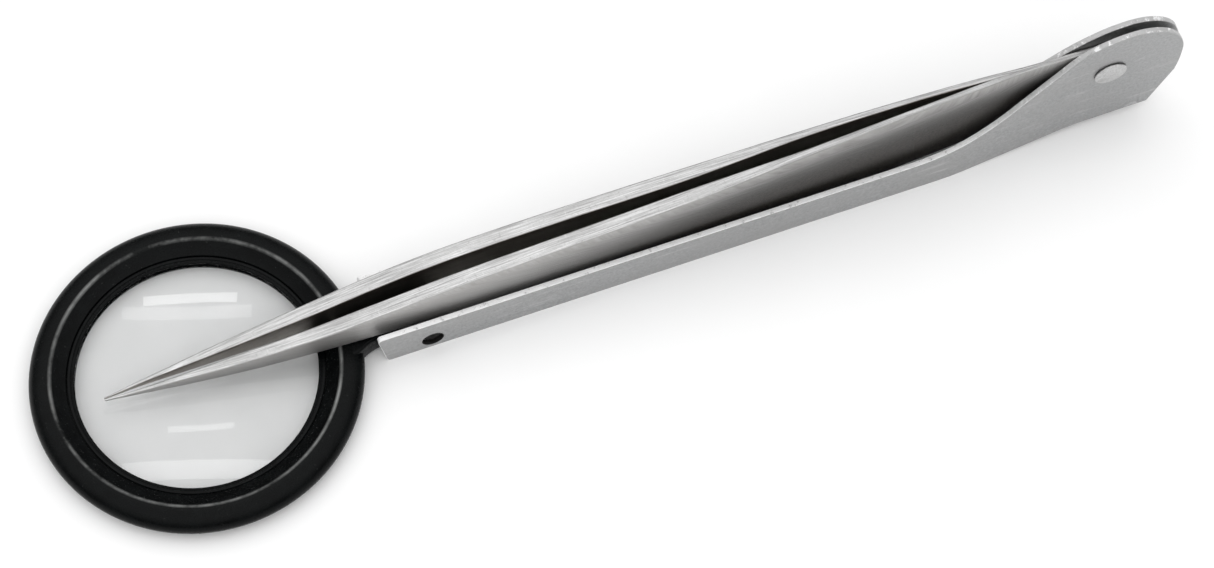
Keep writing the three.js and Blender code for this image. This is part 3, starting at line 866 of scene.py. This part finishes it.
def leaf_section(s):
    """Points (away from the symmetry plane, up) round the leaf at s, with rounded corners
    and a slightly crowned outer face, and the Face map's values at each point."""
    along = max(s, 0.0)
    thickness = leaf_thickness(along)
    inner = max(leaf_middle(along) - thickness / 2, LEAF_HALF_GAP)
    outer = leaf_middle(along) + thickness / 2
    if s < 0:
        reach = math.sqrt(max(LEAF_REAR_RADIUS ** 2 - s * s, 0.0))
        top, bottom = reach, -reach
    else:
        top, bottom = leaf_top(s), -leaf_bottom(s)
    tall = top - bottom
    corner = min(0.16, 0.3 * (outer - inner), 0.3 * tall)
    parting = max(corner * min(max((s - RELEASE_S + 1) / 5, 0.0), 1.0), 0.012)
    crown = min(0.05, 0.08 * (outer - inner))
    steps = 4
    points = []
    sides = []

    def add_corner(cy, cz, start, radius):
        for k in range(steps + 1):
            a = math.radians(start + 90 * k / steps)
            points.append((cy + radius * math.cos(a), cz + radius * math.sin(a)))
            sides.append(math.cos(a))

    def add_face(y, low, high, push, facing):
        for k in range(1, 8):
            share = k / 8
            points.append((y + push * 4 * share * (1 - share), low + (high - low) * share))
            sides.append(facing)

    def add_middle(height):
        points.append(((inner + outer) / 2, height))
        sides.append(0.0)

    add_corner(outer - corner - crown, top - corner, 0, corner)
    add_middle(top)
    add_corner(inner + parting, top - parting, 90, parting)
    add_face(inner, top - parting, bottom + parting, 0.0, -1.0)
    add_corner(inner + parting, bottom + parting, 180, parting)
    add_middle(bottom)
    add_corner(outer - corner - crown, bottom + corner, 270, corner)
    add_face(outer - crown, bottom + corner, top - corner, crown, 1.0)
    heights = [(z - bottom) / tall for _, z in points]
    return points, list(zip(sides, heights))


def leaf_point(s, y, up, side):
    cosine, sine = math.cos(TONGS_PITCH), math.sin(TONGS_PITCH)
    return (RIVET.x - s * cosine - up * sine, side * y, RIVET.z - s * sine + up * cosine)


def leaf_piece(name, side, stations):
    sections, faces_at = zip(*[leaf_section(s) for s in stations])
    rings = [[leaf_point(s, y, up, side) for y, up in section]
             for s, section in zip(stations, sections)]
    points, faces = loft(rings)
    made = new_object(name, points, faces, [LEAF_STEEL])
    count = len(sections[0])
    grain = made.data.uv_layers.new(name="Grain")
    side_map = made.data.uv_layers.new(name="Face")
    around = []
    for section in sections:
        run = [0.0]
        for a, b in zip(section, section[1:]):
            run.append(run[-1] + math.dist(a, b))
        around.append(run)
    widest = max(run[-1] for run in around) + 0.5
    for polygon in made.data.polygons:
        columns = [v % count for v in polygon.vertices]
        wraps = len(columns) == 4 and max(columns) - min(columns) > 2
        for loop, v in zip(polygon.loop_indices, polygon.vertices):
            row, column = divmod(v, count)
            run = around[row][column]
            if wraps and column == 0:
                run = around[row][-1] + 0.1
            grain.data[loop].uv = (stations[row], run + side * widest)
            side_map.data[loop].uv = faces_at[row][column]
    return made


def leaf_stations(start, end, step):
    steps = max(2, round((end - start) / step))
    return [start + (end - start) * i / steps for i in range(steps + 1)]


def leaf(label, side):
    rear = [-LEAF_REAR_RADIUS * math.cos(math.radians(a)) for a in range(3, 90, 6)]
    heel = leaf_piece(f"{label}_leaf_heel", side, rear + leaf_stations(0, BLADE_S, 0.8))
    recalculated(heel)
    cut_round(heel, RIVET.x, RIVET.z, RIVET_HOLE_RADIUS, 3)
    smooth(heel, 38)
    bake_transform(heel)
    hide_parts(f"{label}_leaf_root", f"{label}_leaf_spring")
    tip = TONGS_LENGTH - 0.6
    blade = leaf_piece(f"{label}_leaf_blade", side,
                       leaf_stations(BLADE_S + BLADE_GAP, tip, 0.8)
                       + leaf_stations(tip, TONGS_LENGTH, 0.15)[1:])
    recalculated(blade)
    smooth(blade, 38)
    fit_out(blade, f"{label}_arm", [f"{label}_leaf_arm"])


# ---- Stage -----------------------------------------------------------------------------------

WORLD_STRENGTH = 1.5
SOFTBOX_DISTANCE = 700
# name, place of its reflection from the lens's middle in X and Y, width, height, radiance
SOFTBOXES = [("strip_far", 1.7, 8.6, 114, 14, 4.5), ("strip_near", -1.3, -10.7, 230, 26, 3.0)]


CAMERA_ANGLES = (-18.056, 65.128, -0.301)      # azimuth, elevation and roll in degrees
CAMERA_PLACE = (-106.535, -156.533, 348.918)   # from the rivet in X, the middle and the floor
CAMERA_FOCAL_LENGTH = 107.78
CAMERA_SENSOR = 36


def floor():
    size = 2500.0
    steps = 24
    points = [(size * (i / steps - 0.5), size * (j / steps - 0.5), -0.02)
              for i in range(steps + 1) for j in range(steps + 1)]
    row = steps + 1
    faces = [(i * row + j, (i + 1) * row + j, (i + 1) * row + j + 1, i * row + j + 1)
             for i in range(steps) for j in range(steps)]
    made = new_object("floor", points, faces, [floor_white()])


def area_light(name, place, target, across, width, height, power):
    """A rectangular softbox that faces the target, its width along the across direction."""
    data = bpy.data.lights.new(name, "AREA")
    data.shape = "RECTANGLE"
    data.size = width * MM
    data.size_y = height * MM
    data.energy = power
    made = bpy.data.objects.new(name, data)
    bpy.context.scene.collection.objects.link(made)
    made.location = Vector(place) * MM
    back = (made.location - Vector(target) * MM).normalized()
    upward = back.cross(across).normalized()
    axes = Matrix((upward.cross(back), upward, back)).transposed()
    made.rotation_mode = "QUATERNION"
    made.rotation_quaternion = axes.to_quaternion()


def studio_world():
    """A soft white dome: bright overhead and dim towards the horizon."""
    world = bpy.data.worlds.new("studio")
    bpy.context.scene.world = world
    world.use_nodes = True
    tree = world.node_tree
    background = tree.nodes["Background"]
    direction = tree.nodes.new("ShaderNodeTexCoord").outputs["Generated"]
    split = tree.nodes.new("ShaderNodeSeparateXYZ")
    tree.links.new(direction, split.inputs[0])
    ramp = tree.nodes.new("ShaderNodeValToRGB")
    tree.links.new(split.outputs["Z"], ramp.inputs[0])
    fill_ramp(ramp, [(0.0, 0.10), (0.3, 0.22), (0.6, 0.75), (0.8, 1.0), (1.0, 1.0)])
    tree.links.new(ramp.outputs[0], background.inputs["Color"])
    background.inputs["Strength"].default_value = WORLD_STRENGTH


def reflected_place(dx, dy, distance):
    """Where a light has to be for the camera to see it in the lens, dx and dy millimetres
    from the middle of its top face."""
    curvature = LENS_RADIUS ** 2 / (2 * LENS_SAG)
    point = Vector((LENS.x + dx, dy, LENS.z + LENS_EDGE / 2 + LENS_SAG))
    normal = Vector((dx / curvature, dy / curvature, 1)).normalized()
    eye = Vector(bpy.context.scene.camera.matrix_world.translation) / MM
    towards = (point - eye).normalized()
    return point + towards.reflect(normal) * distance, point


def lights():
    studio_world()
    across = bpy.context.scene.camera.matrix_world.to_3x3().col[0]
    for name, dx, dy, width, height, radiance in SOFTBOXES:
        place, point = reflected_place(dx, dy, SOFTBOX_DISTANCE)
        area = width * height * MM * MM
        area_light(name, place, point, across, width, height, radiance * math.pi * area)
    view = bpy.context.scene.view_settings
    view.view_transform = "Standard"


def camera():
    """A long lens above the near side that looks down on the whole object."""
    azimuth, elevation, roll = (math.radians(a) for a in CAMERA_ANGLES)
    data = bpy.data.cameras.new("camera")
    data.sensor_width = CAMERA_SENSOR
    data.lens = CAMERA_FOCAL_LENGTH
    data.clip_start = 0.01
    data.clip_end = 10
    made = bpy.data.objects.new("camera", data)
    bpy.context.scene.collection.objects.link(made)
    right = Vector((math.cos(azimuth), math.sin(azimuth), 0))
    forward = Vector((-math.sin(azimuth) * math.cos(elevation),
                      math.cos(azimuth) * math.cos(elevation), -math.sin(elevation)))
    up = right.cross(forward)
    turned_right = math.cos(roll) * right + math.sin(roll) * up
    turned_up = -math.sin(roll) * right + math.cos(roll) * up
    x, y, z = CAMERA_PLACE
    place = Vector((RIVET.x + x, y, z)) * MM
    axes = Matrix((turned_right, turned_up, -forward)).transposed()
    made.matrix_world = Matrix.Translation(place) @ axes.to_4x4()
    bpy.context.scene.camera = made


camera()
lights()
floor()
side_plate("near_side_plate", -1)
side_plate("far_side_plate", 1)
pivot_rivet()
lens_frame_rim()
lens_frame_lug()
lens_frame_boss()
lens()
lens_retaining_ring()
lens_tilt_pin()
leaf("near", -1)
leaf("far", 1)
